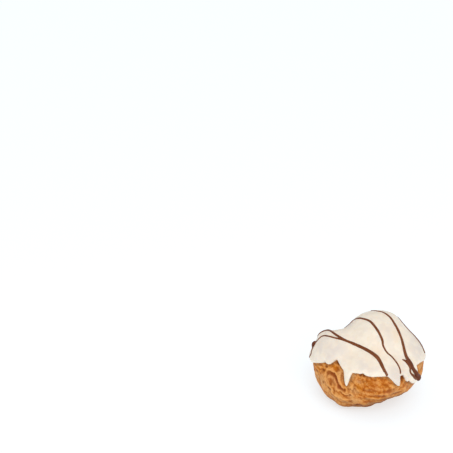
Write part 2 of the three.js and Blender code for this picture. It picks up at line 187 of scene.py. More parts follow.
# Finer creases and ridges of the crust, given in the same way
CREASES = {
    "swirl_inside": ((-53, -3), (-50, -8), (-45, -10.5), 0.8, -0.14),
    "above_swirl": ((-57, 3.4), (-43.5, 8.6), (-28.6, -4.4), 1.1, 0.26),
    "shelf": ((-37, -9.6), (-31, -16.2), (-20, -14.2), 1.0, 0.26),
    "under_shelf": ((-31.5, -15.4), (-25, -18.6), (-18, -15.6), 0.8, -0.24),
    "front_low": ((-10, -11), (0, -13), (12, -11.4), 0.8, -0.2),
    "front_band": ((-2, -20), (6, -22.5), (13, -25), 1.3, 0.16),
    "front_right": ((19.5, -1), (19.5, -12), (27, -27), 1.3, -0.2),
    "right_shelf": ((84, -10), (100, -17), (121, -25), 1.0, 0.22),
    "right_rib": ((100, -9), (113, -13), (129, -8), 0.9, 0.18),
    "back_low": ((150, -24), (170, -31), (192, -27), 1.0, -0.22),
    "back_rib": ((-148, -3), (-137, -11), (-121, -5), 0.9, 0.18),
    "left_shelf": ((-112, -18), (-98, -24), (-80, -19), 1.0, 0.22),
    "left_low": ((-100, -9), (-86, -13), (-72, -7), 0.9, -0.2),
}
PITS = (  # azimuth, elevation, half width and depth of burst blisters
    (-61.5, 0, 2.3, 0.45), (-58.6, 6.2, 1.8, 0.45), (-59.5, 11.4, 1.5, 0.4),
    (-56.6, -12.4, 2.0, 0.26), (-45, -15.8, 1.5, 0.4), (-45.6, 17.6, 3.0, 0.6),
    (-7.5, 13.6, 2.4, 0.5), (-3.5, 13.4, 2.0, 0.45), (-25.5, -10.5, 1.6, 0.4), (43, 7.2, 2.6, 0.6),
    (42, 4.4, 1.8, 0.4), (-10.8, -35, 2.6, 0.5), (29, -34.5, 1.6, 0.4), (103, -3, 1.6, 0.5),
    (118, -22, 1.3, 0.4), (176, -3, 1.6, 0.5), (-158, -14, 1.5, 0.45), (-126, -1, 1.7, 0.5),
    (-104, -15, 1.2, 0.4),
)
STRAY_PITS, STRAY_SEED = 110, 5
STRAY_RANGES = ((-180, 180), (-44, 14), (0.5, 1.3), (0.12, 0.35))  # of the same four values
BAKED = (  # azimuth, elevation, half width, half height and strength of the browner patches
    (9, -4, 20, 14, 0.45), (-4, -2, 5, 5, 0.65), (9, 7, 8, 4, 0.9), (10, -1, 8, 3.5, 0.75),
    (16, 1, 6, 4, 0.85), (24, 3, 5, 5, 0.8), (23.5, -7, 5, 4, 1), (20, 10, 6, 3, 0.65),
    (-7, -12.5, 6, 2.5, 0.75), (8, -24, 9, 2.5, 0.55), (3, -13, 8, 3, 0.5),
    (-45.5, 9.5, 5, 4, 1.3), (-27.5, -10, 3, 2.5, 0.5), (21, -5, 4, 4, 0.6),
    (12, -0.5, 6, 2.5, 0.9), (-18, -4, 3, 5, 0.4), (20, 4, 9, 6, 0.45), (-9.5, 7, 4, 3.5, 0.5),
    (14, -7, 10, 4, 0.5), (104, 2, 16, 6, 0.5), (96, -8, 6, 4, 0.8), (113, -3, 6, 4, 0.75),
    (146, -10, 14, 5, 0.6), (160, 1, 7, 4, 0.75), (-172, -3, 20, 8, 0.45), (-180, -8, 7, 4, 0.8),
    (-160, -16, 8, 4, 0.7), (-126, -4, 14, 6, 0.45), (-133, 2, 6, 4, 0.75), (-115, -12, 6, 4, 0.7),
    (-88, -8, 8, 4, 0.5),
)
RUST = (  # the same for raw, reddish dough laid bare in the cracks
    (-44, -3.5, 6, 4.6, 1), (-39, -6, 4.5, 4, 1), (-34, -10, 3.5, 4, 0.9),
    (-32.5, -1, 3.2, 6, 0.65), (-29, -9, 3, 4, 0.6), (23.5, -7.5, 4, 4, 0.5),
    (-134, -15, 8, 3.5, 0.8), (112, -16, 8, 3.5, 0.8), (172, -9, 7, 3, 0.7),
)
OCHRE = (  # the same for spots of deep yellow crust
    (-50, 11, 5, 3, 0.9), (-71, 1.5, 4, 3.5, 0.8), (-68, -4, 5, 3, 0.35), (-7, -0.5, 5, 3.5, 0.8),
    (-40, -20, 5, 3, 0.6), (76, -2, 5, 4, 0.7), (128, -8, 6, 4, 0.7), (172, -14, 6, 3, 0.7),
    (-146, -2, 6, 3, 0.7), (-104, -6, 5, 3, 0.7),
)
LIGHT = (  # the same for the palest, least baked places, dusty rather than golden
    (-57, -13, 8, 9, 0.9), (-73, -14, 5, 8, 1), (-40, -23, 13, 5, 0.7), (-37, 6, 5, 4, 1),
    (-46, -17, 7, 4, 1), (-14.7, -8, 5, 5, 0.9), (-17, 9, 4, 5, 1), (-15.5, 11, 3, 3, 1),
    (-81, -21, 5, 6, 1), (-19, -15, 6, 4, 0.9), (-12, -22, 8, 5, 0.9), (34, -8, 7, 7, 0.75),
    (-8, 5.5, 4, 2.5, 0.9), (4, -2.5, 4, 2, 0.7), (-51, -14, 5, 4, 0.7), (-26.5, -29, 5, 4, 0.6),
    (50, -8, 10, 4, 0.3), (80, 4, 6, 5, 1), (90, -14, 9, 6, 0.8), (128, -20, 12, 5, 0.8),
    (170, -22, 12, 5, 0.8), (-142, -10, 8, 4, 0.7), (-100, -20, 12, 5, 0.8), (-166, 3, 6, 5, 0.8),
    (140, 0, 6, 4, 0.8),
)
CRACK_AND_SHADE_LINES = {  # dark lines, partly cracks and partly painted shade in crevices, with a painted contact shadow along the bottom: three directions each, the width, and the strength, capped at 1
    "swirl": (*FOLDS["swirl"][:3], 2.1, 0.95),
    "swirl_inside": (*CREASES["swirl_inside"][:3], 1.1, 0.4),
    "under_shelf": (*CREASES["under_shelf"][:3], 0.9, 0.6),
    # these two lines along the bottom are a painted contact shadow, where the puff meets the floor
    "bottom_notch_shadow": ((-14.5, -36), (-9, -29), (-4.5, -38), 2.4, 2.4),
    "bottom": ((5, -47), (17.5, -43), (29, -27), 3.2, 2.4),
    "right": (*FOLDS["right_crack"][:3], 1.2, 0.95),
    "right_shelf": ((86, -12), (100, -19), (119, -27), 0.9, 0.7),
    "left": (*FOLDS["left_crack"][:3], 1.2, 0.95),
    "left_low": (*CREASES["left_low"][:3], 0.9, 0.6),
    "back_low": (*CREASES["back_low"][:3], 0.9, 0.8),
    "back": ((160, -4), (176, -12), (196, -6), 0.9, 0.7),
}
PALE_AND_HIGHLIGHT_LINES = {  # the same for pale lines: painted highlights along ridges, and paler streaks of crust
    "above_swirl": (*CREASES["above_swirl"][:3], 1.5, 0.9),
    "shelf": (*CREASES["shelf"][:3], 1.1, 0.9),
    "swirl_middle": ((-47, -4), (-43, -6), (-38, -10), 1.3, 0.25),
    "beside_drip": ((-41, 5.5), (-37, 4), (-33.5, -1), 2.2, 0.8),
    "low_streak": ((-31, -26), (-24, -21.5), (-14, -22.5), 1.1, 0.7),
    "low_left": ((-52, -15), (-45, -21.5), (-33, -19), 1.6, 0.6),
    "low_right": ((30, -6), (35, -8.5), (41, -7), 1.6, 0.5),
    "notch_left": ((-15, -22), (-11, -24), (-7, -27), 1.1, 0.6),
    "notch_right": ((-3, -21.5), (-7, -24), (-12, -27), 1.1, 0.6),
    "right_rib": (*CREASES["right_rib"][:3], 1.2, 0.8),
    "right_low": ((84, -24), (104, -31), (126, -33), 1.2, 0.7),
    "back_rib": (*CREASES["back_rib"][:3], 1.2, 0.8),
    "back_streak": ((158, -19), (176, -25), (200, -20), 1.2, 0.8),
    "left_shelf": (*CREASES["left_shelf"][:3], 1.1, 0.8),
}


# Numbers --------------------------------------

LATTICE = 32  # random numbers along each side of the block of noise that repeats
SEED_BLOCK = 16  # the same for the seeds of cells
SEED_RANGE = (0.1, 0.9)  # where a seed may lie in its cube, along each side
FAR = 500  # cells by which places are moved, so that none is below 0
LAYER_SHARE = 0.55  # strength of each layer of noise beside the one before
CURVE_POINTS = 33


def smooth(x, low, high):
    """Smoothstep of x from low to high."""
    t = np.clip((x - low) / (high - low), 0, 1)
    return t * t * (3 - 2 * t)


def turn(start, end):
    """The angle from start to end, the short way round."""
    return (end - start + 180) % 360 - 180


def direction(az, el):
    """Unit vectors (cos el sin az, -cos el cos az, sin el)."""
    a, e = np.broadcast_arrays(np.radians(az), np.radians(el))
    return np.stack([np.cos(e) * np.sin(a), -np.cos(e) * np.cos(a), np.sin(e)], axis=-1)


def angle_from(d, az, el):
    """Degrees between the unit vectors d and one direction."""
    return np.degrees(np.arccos(np.clip(d @ direction(az, el), -1, 1)))


def unit(vectors):
    """Rows of vectors over their lengths."""
    return vectors / np.linalg.norm(vectors, axis=1)[:, None]


def travelled(points):
    """Length of the way through a row of points, up to each of them."""
    return np.concatenate([[0], np.cumsum(np.linalg.norm(np.diff(points, axis=0), axis=1))])


def value_noise(points, size, seed):
    """Random numbers from -1 to 1 on a cubic lattice of that size, blended by smoothstep."""
    lattice = np.random.default_rng(seed).uniform(-1, 1, (LATTICE, LATTICE, LATTICE))
    place = points / size + FAR
    cell = np.floor(place).astype(int)
    part = smooth(place - cell, 0, 1)
    total = np.zeros(points.shape[:-1])
    for corner in np.ndindex(2, 2, 2):
        weight = np.prod(np.where(corner, part, 1 - part), axis=-1)
        i, j, k = np.moveaxis((cell + corner) % LATTICE, -1, 0)
        total += weight * lattice[i, j, k]
    return total


def noises(points, rows):
    """Value noise added up over rows of strength, size and seed."""
    return sum(strength * value_noise(points, size, seed) for strength, size, seed in rows)


def layered_noise(points, size, layers, seed):
    """Value noise added up over layers, each half the size and LAYER_SHARE as strong."""
    total = np.zeros(points.shape[:-1])
    for k in range(layers):
        total += LAYER_SHARE ** k * value_noise(points, size * 0.5 ** k, seed + k)
    return total


def cells(points, size, seed):
    """Distances to the nearest and the second nearest of random seeds, one of them in each
    cube of that size, as shares of the size."""
    block = (SEED_BLOCK, SEED_BLOCK, SEED_BLOCK, 3)
    draw = np.random.default_rng(seed).uniform(*SEED_RANGE, block)
    place = points / size + FAR
    home = np.floor(place).astype(int)
    first = np.full(points.shape[:-1], np.inf)
    second = first.copy()
    for step in np.ndindex(3, 3, 3):
        cell = home + np.array(step) - 1
        i, j, k = np.moveaxis(cell % SEED_BLOCK, -1, 0)
        away = np.linalg.norm(place - cell - draw[i, j, k], axis=-1)
        second = np.minimum(second, np.maximum(first, away))
        first = np.minimum(first, away)
    return first, second


def patches(stations, az, el):
    """Soft ovals strength exp(-(across / wide)^2 - (up / high)^2), the strongest of which
    holds in each direction."""
    most = np.zeros(az.shape)
    for centre, level, wide, high, strength in stations:
        away = (turn(centre, az) / wide) ** 2 + ((el - level) / high) ** 2
        most = np.maximum(most, strength * np.exp(-away))
    return most


# The dough ------------------------------------

def dough_radius(d):
    """Distance from CENTRE to the smooth dough along d.

    Each lobe's far side is t, the larger root of |(CENTRE + t d - centre) / half| = 1.
    The lobes join as CREASE log(sum exp(t / CREASE)), and each swell then adds
    height exp(-(angle / spread)^2).
    """
    total = np.zeros(d.shape[:-1])
    for centre, half in LOBES.values():
        offset = (CENTRE - centre) / half
        v = d / half
        a = (v * v).sum(-1)
        b = v @ offset
        c = offset @ offset - 1
        reach = (-b + np.sqrt(np.maximum(b * b - a * c, 0))) / a
        total += np.exp(reach / CREASE)
    radius = CREASE * np.log(total)
    for az, el, spread, height in SWELLS.values():
        radius += height * np.exp(-((angle_from(d, az, el) / spread) ** 2))
    return radius


def points_above(d, height):
    """Points at a height above the smooth dough along d, with the foot pressed flat: z
    becomes (z + r)^2 / 4r within r = FOOT_ROUND of the floor, and 0 below that."""
    points = d * (dough_radius(d) + height)[..., None] + CENTRE
    z = points[..., 2]
    low = np.maximum(z + FOOT_ROUND, 0) ** 2 / (4 * FOOT_ROUND)
    points[..., 2] = np.where(z < FOOT_ROUND, low, z)
    return points


def foot_edge(az):
    """Elevation at which the wall meets the flat foot at each azimuth, found by halving
    FOOT_SPAN again and again."""
    inside, above = (np.full(az.shape, level) for level in FOOT_SPAN)
    for _ in range(FOOT_HALVINGS):
        middle = (inside + above) / 2
        d = direction(az, middle)
        over = dough_radius(d) * d[..., 2] + CENTRE[2] > 0
        above = np.where(over, middle, above)
        inside = np.where(over, inside, middle)
    return inside


# The icing's edge -----------------------------

EDGE_POINTS = 1500
EDGE_BATCH = 4000
EDGE_FINE = 7201  # azimuths, a twentieth of a degree apart, along which it is measured


def rim_line(az):
    """Elevation of the icing's edge without its drips: smoothstep between the stations."""
    stations = np.array(RIM + ((RIM[0][0] + 360, RIM[0][1]),), float)
    az = (np.asarray(az, float) - stations[0, 0]) % 360 + stations[0, 0]
    k = np.clip(np.searchsorted(stations[:, 0], az, side="right") - 1, 0, len(RIM) - 1)
    share = smooth(az, stations[k, 0], stations[k + 1, 0])
    return stations[k, 1] + (stations[k + 1, 1] - stations[k, 1]) * share


def rim(az):
    """Elevation of the edge: each drip takes off length cos(pi u / 2)^(2 point)."""
    el = rim_line(az)
    for centre, left, right, length, point in DRIPS.values():
        away = turn(centre, az)
        u = np.minimum(1, np.abs(away) / np.where(away < 0, left, right))
        el = el - length * np.cos(u * np.pi / 2) ** (2 * point)
    return el


def ragged_rim(az):
    """The edge with small wanderings and the notches where a blister kept it up."""
    el = rim(az) + noises(direction(az, 0 * az) * MEAN_RADIUS, EDGE_WANDER)
    for centre, wide, height in NOTCHES:
        el = el + height * np.exp(-((turn(centre, az) / wide) ** 2))
    return el


def spaced_azimuths(count):
    """Azimuths spaced evenly along the edge, so that steep drips get more of them."""
    fine = np.linspace(-180, 180, EDGE_FINE)
    way = np.concatenate([[0], np.cumsum(np.hypot(np.diff(fine), np.diff(rim(fine))))])
    return np.interp(np.linspace(0, way[-1], count, endpoint=False), way, fine)


def edge_distance(d):
    """Straight distance in mm from the smooth dough in each direction to the nearest of
    EDGE_POINTS on the icing's edge, worked out for EDGE_BATCH directions at a time."""
    az = spaced_azimuths(EDGE_POINTS)
    edge = points_above(direction(az, ragged_rim(az)), 0 * az)
    flat = points_above(d, np.zeros(d.shape[:-1])).reshape(-1, 3)
    nearest = np.empty(len(flat))
    for start in range(0, len(flat), EDGE_BATCH):
        part = flat[start:start + EDGE_BATCH]
        squares = (part ** 2).sum(1)[:, None] + (edge ** 2).sum(1) - 2 * part @ edge.T
        nearest[start:start + EDGE_BATCH] = np.sqrt(np.maximum(squares.min(1), 0))
    return nearest.reshape(d.shape[:-1])


def icing_height(d):
    """Height of the icing's outside above the smooth dough.

    It rises from a blunt edge as a quarter circle of radius EDGE_ROUND, has a bead a
    little in from the edge and a fuller drop at the tip of each drip, and slow waves
    left by the pouring.
    """
    away = edge_distance(d)
    inward = 1 - np.clip(away / EDGE_ROUND, 0, 1)
    round_edge = BLUNT + (1 - BLUNT) * np.sqrt(1 - inward ** 2)
    bead = BEAD * np.exp(-(((away - BEAD_IN) / BEAD_WIDE) ** 2))
    waves = noises(d * MEAN_RADIUS, POUR_WAVES)
    drops = np.zeros(away.shape)
    for centre, *_ in DRIPS.values():
        off_tip = angle_from(d, centre, rim(np.array(float(centre))) + DROP_UP)
        drops += DROP * np.exp(-((off_tip / DROP_WIDE) ** 2))
    return GAP + ICING * round_edge + bead + (waves + drops) * smooth(away, 0, BEAD_IN)


# Relief of the crust --------------------------

RIPPLE = {"height": 0.08, "pitch": 3.6, "start": 2, "reach": 5}  # mm, then degrees
PULL = 1.8  # how much the skin is pressed together across the way it was pulled
PULL_DIP, PULL_FROM = 0.35, 3  # slope of that way, and how far left the slope starts
PULL_WANDER = ((1.1, 6, 21), (0.5, 2.5, 22))  # strength, size and seed of noise
SHAKE_ACROSS = ((1.7, 2.7, 33), (0.9, 1.1, 34))  # the same, in degrees
SHAKE_UP = ((1.7, 2.7, 35), (0.9, 1.1, 36))
FLAKE, DOME, SPLIT, GRAIN = 0.14, 0.16, 0.1, 0.03  # heights and depth in the skin
FLAKES = ((1, 3.2, 23), (0.6, 1.6, 24))  # strength, size and seed of noise
RUCK, RUCK_SIZE = 0.35, 2.2  # the same of noise folded up at 0, which leaves sharp valleys
BLISTER_SIZE, BLISTER_SQUASH, BLISTER_STEEP = 1.9, 0.6, 1.6
BLISTER_SPREAD = 5  # size of the noise that says where blisters rise
BLISTER_LEVELS = (-0.3, 0.5)  # of that noise, between which they rise
SPLIT_WIDE = 0.09  # half width of a crease, as a share of BLISTER_SIZE
GRAIN_SIZE = 0.8
LINE_SHARE, LINE_BREAKS = 0.7, ((0.6, 1.3, 31),)  # mean strength of a line, and noise in it
CRACK_DEPTH = 0.25
SKIN_ABOVE, SKIN_FADE = 4, 3  # degrees above the icing's edge to the skin's, and its fade
FOOT_SKIN = 0.3  # share of the skin's relief that is left across the foot
PIT_FADE = (-1, 2)  # degrees above the foot's edge between which pits come in
BLUR_REACH = 7  # steps of the grid on each side, against which hollows and ridges show
FULL_RELIEF = 0.2  # relief for full painted highlight on ridges and painted shade in hollows
PIT_SHADE, PIT_LEAST = 2.4, 0.2  # painted shade in a pit: its depth times the first, less the second
RIM_SHADE = (0.8, 1.7)  # distances from the icing's edge between which the painted shade below it dies out
UNDER_SHADE = (0.3, 0.75)  # how far the dough faces down where the painted shade under it starts and is full
BAKE_MEAN, BAKE_LIGHT = 0.32, 0.3  # brownness between patches, and what LIGHT takes off it
BLOTCH, BLOTCH_SIZE = 0.36, 3.6


def lumps(d):
    """Rounded blisters: the mean of LUMP_WAVES sine waves, along axes a golden angle apart."""
    total = np.zeros(d.shape[:-1])
    for k in range(LUMP_WAVES):
        lift = np.degrees(np.arcsin(-LUMP_LIFT + 2 * LUMP_LIFT * (k + 0.5) / LUMP_WAVES))
        axis = direction(GOLDEN_ANGLE * k, lift)
        total += np.sin(LUMP_TURNS * (1 + LUMP_QUICKER * k) * (d @ axis) + LUMP_LATER * k)
    return LUMP_HEIGHT * total / LUMP_WAVES


def wrinkles(az, el):
    """Level waves across the front: height sin(2 pi (el + wander) / pitch), times
    exp(-(across / wide)^2 - (up / high)^2) from the middle of their patch."""
    across = turn(WRINKLE["az"], az) / WRINKLE["wide"]
    up = (el - WRINKLE["el"]) / WRINKLE["high"]
    wander = WRINKLE["wander"] * np.sin(np.radians(az * WRINKLE["wanders"]))
    wave = np.sin(2 * np.pi * (el + wander) / WRINKLE["pitch"])
    return WRINKLE["height"] * wave * np.exp(-across ** 2 - up ** 2)


def curve_distance(start, by, end, az, el):
    """Degrees from each direction to the parabola that bends through three directions."""
    start, by, end = np.array([start, by, end], float)
    t = np.linspace(0, 1, CURVE_POINTS)[:, None]
    curve = (1 - t) ** 2 * start + 2 * t * (1 - t) * by + t ** 2 * end
    squeeze = np.cos(np.radians(el))
    nearest = np.full(az.shape, np.inf)
    for (x0, y0), (x1, y1) in zip(curve[:-1], curve[1:]):
        across, up = turn(x0, az) * squeeze, el - y0
        run, rise = (x1 - x0) * squeeze, y1 - y0
        part = np.clip((across * run + up * rise) / (run ** 2 + rise ** 2), 0, 1)
        nearest = np.minimum(nearest, np.hypot(across - part * run, up - part * rise))
    return nearest


def along_lines(lines, az, el):
    """A grid for each line: its height or strength times exp(-(distance / width)^2)."""
    return [
        height * np.exp(-((curve_distance(start, by, end, az, el) / wide) ** 2))
        for start, by, end, wide, height in lines.values()
    ]


def facing_down(points):
    """How far a grid of points faces down: minus the upward part of its unit normal, which
    is the cross product of the steps down and across."""
    across = np.roll(points, -1, axis=1) - np.roll(points, 1, axis=1)
    normal = np.cross(np.gradient(points, axis=0), across)
    return -normal[..., 2] / (np.linalg.norm(normal, axis=-1) + 1e-9)


def swirl_ripples(az, el):
    """Ridges beside the swirl at the front left: height cos(2 pi away / pitch), which start
    at nothing on the swirl itself and fade as exp(-away / reach)."""
    away = curve_distance(*FOLDS["swirl"][:3], az, el)
    wave = RIPPLE["height"] * np.cos(2 * np.pi * away / RIPPLE["pitch"])
    start = 1 - np.exp(-((away / RIPPLE["start"]) ** 2))
    return wave * np.exp(-away / RIPPLE["reach"]) * start


def pits(d):
    """Depth of the burst blisters: the named ones and stray ones from a seeded draw, each
    depth exp(-(angle / width)^2)."""
    draw = np.random.default_rng(STRAY_SEED)
    stray = np.stack([draw.uniform(low, high, STRAY_PITS) for low, high in STRAY_RANGES], axis=1)
    depth = np.zeros(d.shape[:-1])
    for az, el, wide, deep in np.concatenate([np.array(PITS), stray]):
        depth = np.maximum(depth, deep * np.exp(-((angle_from(d, az, el) / wide) ** 2)))
    return depth


def pulled(d):
    """Places in mm on the mean sphere, pressed together PULL times across the way in which
    the dough was pulled: level, but dipping towards the front on the left side."""
    place = d * MEAN_RADIUS
    dip = PULL_DIP * np.minimum(place[..., 0] + PULL_FROM, 0)
    across = PULL * (place[..., 2] + dip + noises(place, PULL_WANDER))
    return np.stack([place[..., 0], place[..., 1], across], axis=-1)


def shaken(d, az, el):
    """Directions moved about by up to 2.6 degrees of noise, so that drawn lines wander."""
    place = d * MEAN_RADIUS
    return az + noises(place, SHAKE_ACROSS), el + noises(place, SHAKE_UP)


def skin(d):
    """Height of the baked skin: flakes of noise drawn out along the pull, blisters as domes
    1 - BLISTER_STEEP r^2 round random seeds, fine creases midway between two seeds, and
    grain."""
    lines = pulled(d)
    flakes = noises(lines, FLAKES) + RUCK * np.abs(value_noise(lines, RUCK_SIZE, seed=25))
    first, second = cells(lines * (1, 1, BLISTER_SQUASH), BLISTER_SIZE, seed=26)
    risen = smooth(value_noise(lines, BLISTER_SPREAD, seed=27), *BLISTER_LEVELS)
    domes = np.maximum(0, 1 - first ** 2 * BLISTER_STEEP) * risen
    creases = np.exp(-(((second - first) / SPLIT_WIDE) ** 2))
    grain = layered_noise(d * MEAN_RADIUS, GRAIN_SIZE, layers=2, seed=28)
    return FLAKE * flakes + DOME * domes - SPLIT * creases + GRAIN * grain


def blurred(grid, reach):
    """A grid averaged over a square, round the azimuths and within the elevations."""
    padded = np.pad(grid, ((reach, reach), (0, 0)), mode="edge")
    rows = sum(padded[k:k + len(grid)] for k in range(2 * reach + 1))
    square = sum(np.roll(rows, k, axis=1) for k in range(-reach, reach + 1))
    return square / (2 * reach + 1) ** 2


# Meshes ---------------------------------------

def ring_faces(rings, count):
    """Corner numbers of a closed body made of a tip, rings and a second tip."""
    i = np.arange(count)
    j = (i + 1) % count
    base = 1 + np.arange(rings - 1)[:, None] * count
    quads = np.stack([base + i, base + count + i, base + count + j, base + j], axis=-1)
    end = 1 + rings * count
    last = end - count
    top = np.stack([np.zeros_like(i), 1 + i, 1 + j], axis=-1)
    bottom = np.stack([np.full_like(i, end), last + j, last + i], axis=-1)
    return quads.reshape(-1, 4), np.concatenate([top, bottom])


def make_piece(name, points, quads, triangles, values):
    """A smooth mesh object in metres, with a number for each point under each name."""
    mesh = bpy.data.meshes.new(name)
    mesh.vertices.add(len(points))
    mesh.vertices.foreach_set("co", (points * MM).astype(np.float32).ravel())
    corners = np.concatenate([quads.ravel(), triangles.ravel()]).astype(np.int32)
    starts = np.concatenate([
        np.arange(len(quads)) * 4, len(quads) * 4 + np.arange(len(triangles)) * 3,
    ]).astype(np.int32)
    mesh.loops.add(len(corners))
    mesh.loops.foreach_set("vertex_index", corners)
    mesh.polygons.add(len(starts))
    mesh.polygons.foreach_set("loop_start", starts)
    mesh.update(calc_edges=True)
    mesh.validate()
    mesh.polygons.foreach_set("use_smooth", np.ones(len(mesh.polygons), bool))
    for label, numbers in values.items():
        layer = mesh.attributes.new(label, "FLOAT", "POINT")
        layer.data.foreach_set("value", numbers.astype(np.float32).ravel())
    piece = bpy.data.objects.new(name, mesh)
    bpy.context.scene.collection.objects.link(piece)
    return piece


def ring_piece(name, first, rings, last, values):
    """A closed piece from rings of points, shaped (rings, count, 3), and its two tips."""
    points = np.concatenate([first[None], rings.reshape(-1, 3), last[None]])
    quads, triangles = ring_faces(rings.shape[0], rings.shape[1])
    return make_piece(name, points, quads, triangles, values)


# Crust ----------------------------------------

CRUST_COLUMNS = 690
CRUST_ROWS = 122
UNDER_ROWS = (82, 70, 58, 47, 38, 31)  # elevations of the rows under the icing
FOOT_ROWS = (0.012, 0.03, 0.08, 0.2, 0.4, 0.62, 0.84)  # shares of the way across the foot


def crust_grid():
    """Azimuths and elevations of the crust: a few rows under the icing, close rows from just
    above its edge down to the foot, and a few rows across the foot."""
    az = np.linspace(0, 360, CRUST_COLUMNS, endpoint=False)[None, :]
    edge = foot_edge(az)
    under = np.array(UNDER_ROWS)[:, None] + 0 * az
    start = rim_line(az) + SKIN_ABOVE
    wall = start + (edge - start) * np.linspace(0, 1, CRUST_ROWS)[:, None]
    foot = edge + (-90 - edge) * np.array(FOOT_ROWS)[:, None]
    el = np.concatenate([under, wall, foot])
    return np.broadcast_to(az, el.shape), el, np.broadcast_to(edge, el.shape)


def crust_relief(d, az, el, edge):
    """Height of the crust above the smooth dough, and the masks for its colours, painted shade and
    highlights among them.

    Lumps, wrinkles and folds are those of the solid and fade out under the icing and at
    the foot. The skin, its creases and the pits are finer.
    """
    lowest = np.min([rim(az + step) for step in RELIEF_ASIDE], axis=0)
    bare = smooth(lowest - RELIEF_CLEAR - el, 0, RELIEF_FADE)
    wall = smooth(el - edge, 0, FOOT_FADE)
    seen = smooth(rim(az) + SKIN_ABOVE - el, 0, SKIN_FADE)
    hole = pits(d)
    broken = np.clip(LINE_SHARE + noises(d * MEAN_RADIUS, LINE_BREAKS), 0, 1)
    bent = shaken(d, az, el)
    crack_and_shade = np.minimum(np.max(along_lines(CRACK_AND_SHADE_LINES, *bent), axis=0) * broken, 1) * seen
    coarse = bare * wall * (lumps(d) + wrinkles(az, el) + sum(along_lines(FOLDS, *bent)))
    fine = skin(d) + broken * sum(along_lines(CREASES, *bent)) + swirl_ripples(*bent)
    fine = (fine - CRACK_DEPTH * crack_and_shade) * (FOOT_SKIN + (1 - FOOT_SKIN) * wall)
    height = coarse + seen * (fine - smooth(el - edge, *PIT_FADE) * hole)
    relative = (height - blurred(height, BLUR_REACH)) / FULL_RELIEF
    masks = {
        "baked": baked(d, *bent),
        # painted shade in hollows and painted highlight on ridges, worked out from the relief
        "painted_hollow_shade": np.clip(-relative, 0, 1),
        "painted_ridge_highlight": np.clip(relative, 0, 1),
        # painted shade in the pits, darker the deeper they are
        "burst": np.clip(hole * PIT_SHADE - PIT_LEAST, 0, 1) * seen,
        "rust": patches(RUST, *bent),
        "ochre": patches(OCHRE, *bent) * broken,
        # pale lines: painted highlight along ridges, and paler streaks of crust
        "pale": np.max(along_lines(PALE_AND_HIGHLIGHT_LINES, *bent), axis=0) * broken,
        "dusty": patches(LIGHT, *bent),
        # dark lines: partly cracks, partly painted shade in crevices and a painted contact shadow
        # along the bottom
        "crack_and_shade": crack_and_shade,
        # painted shade on the crust just below the icing's edge
        "rim": (1 - smooth(edge_distance(d), *RIM_SHADE)) * broken,
        # painted shade on the faces that point down
        "under": smooth(facing_down(points_above(d, coarse)), *UNDER_SHADE),
    }
    return height, masks


def baked(d, az, el):
    """How brown the crust is, from 0 to 1: browner patches, paler between them, in uneven
    blotches drawn out along the dough."""
    blotches = layered_noise(pulled(d), BLOTCH_SIZE, layers=3, seed=41)
    patchy = patches(BAKED, az, el) - BAKE_LIGHT * patches(LIGHT, az, el)
    return np.clip(BAKE_MEAN + patchy + BLOTCH * blotches, 0, 1)


def make_crust():
    """The crust: azimuth by elevation over the whole puff, closed under the icing."""
    az, el, edge = crust_grid()
    d = direction(az, el)
    height, masks = crust_relief(d, az, el, edge)
    rings = points_above(d, height)
    tips = [points_above(direction(0, lift)[None], np.zeros(1))[0] for lift in (90, -90)]
    values = {
        label: np.concatenate([[mask[0].mean()], mask.ravel(), [mask[-1].mean()]])
        for label, mask in masks.items()
    }
    return ring_piece("choux_crust", tips[0], rings, tips[1], values)


# Icing ----------------------------------------

ICING_COLUMNS = 560
ICING_JOIN = 24  # elevation of the level ring from which the rows bend towards the edge
NEAR_EDGE = 3.2  # degrees above the smooth edge from which the rows shrink
TOP_ROWS = ((88, 45, 26), (44, ICING_JOIN, 20))  # elevations from and to, and rows
DOWN_ROWS, DOWN_POWER = 46, 0.9  # rows from the level ring to NEAR_EDGE, and their spacing
CLOSE_ROWS, CLOSE_POWER = 30, 1.6  # the same from there to the ragged edge
BACK_UP, BACK_SHARE = 3, 0.45  # the inner rows next to the edge: degrees up, share of the way
BACK_LEVELS = (ICING_JOIN, 50, 75)  # elevations of the inner rows above them


def icing_rows(az):
    """Elevations of the icing's rows, outside and inside.

    Outside they run from the top to a level ring, on to just above the smooth edge, and
    down to the ragged edge in shrinking steps. Inside they run back up.
    """
    edge = ragged_rim(az)
    near = rim(az) + NEAR_EDGE
    top = np.concatenate([np.linspace(*span) for span in TOP_ROWS])
    down = np.linspace(0, 1, DOWN_ROWS)[1:, None] ** DOWN_POWER
    close = (1 - np.linspace(0, 1, CLOSE_ROWS)[1:, None]) ** CLOSE_POWER
    outside = np.concatenate([
        top[:, None] + 0 * az, ICING_JOIN + (near - ICING_JOIN) * down,
        edge + (near - edge) * close,
    ])
    back = [edge, edge + BACK_UP, ICING_JOIN + (edge - ICING_JOIN) * BACK_SHARE]
    inside = np.concatenate(back + [level + 0 * az for level in BACK_LEVELS])
    return outside, inside


def icing_tints(d):
    """Masks of the icing's greyer patches, partly painted shade, and of its yellower patches."""
    lift = np.degrees(np.arcsin(np.clip(d[:, 2], -1, 1)))
    facing = np.degrees(np.arctan2(d[:, 0], -d[:, 1]))
    return {"cool_and_shade": patches(COOL_AND_SHADE, facing, lift), "warm": patches(WARM, facing, lift)}


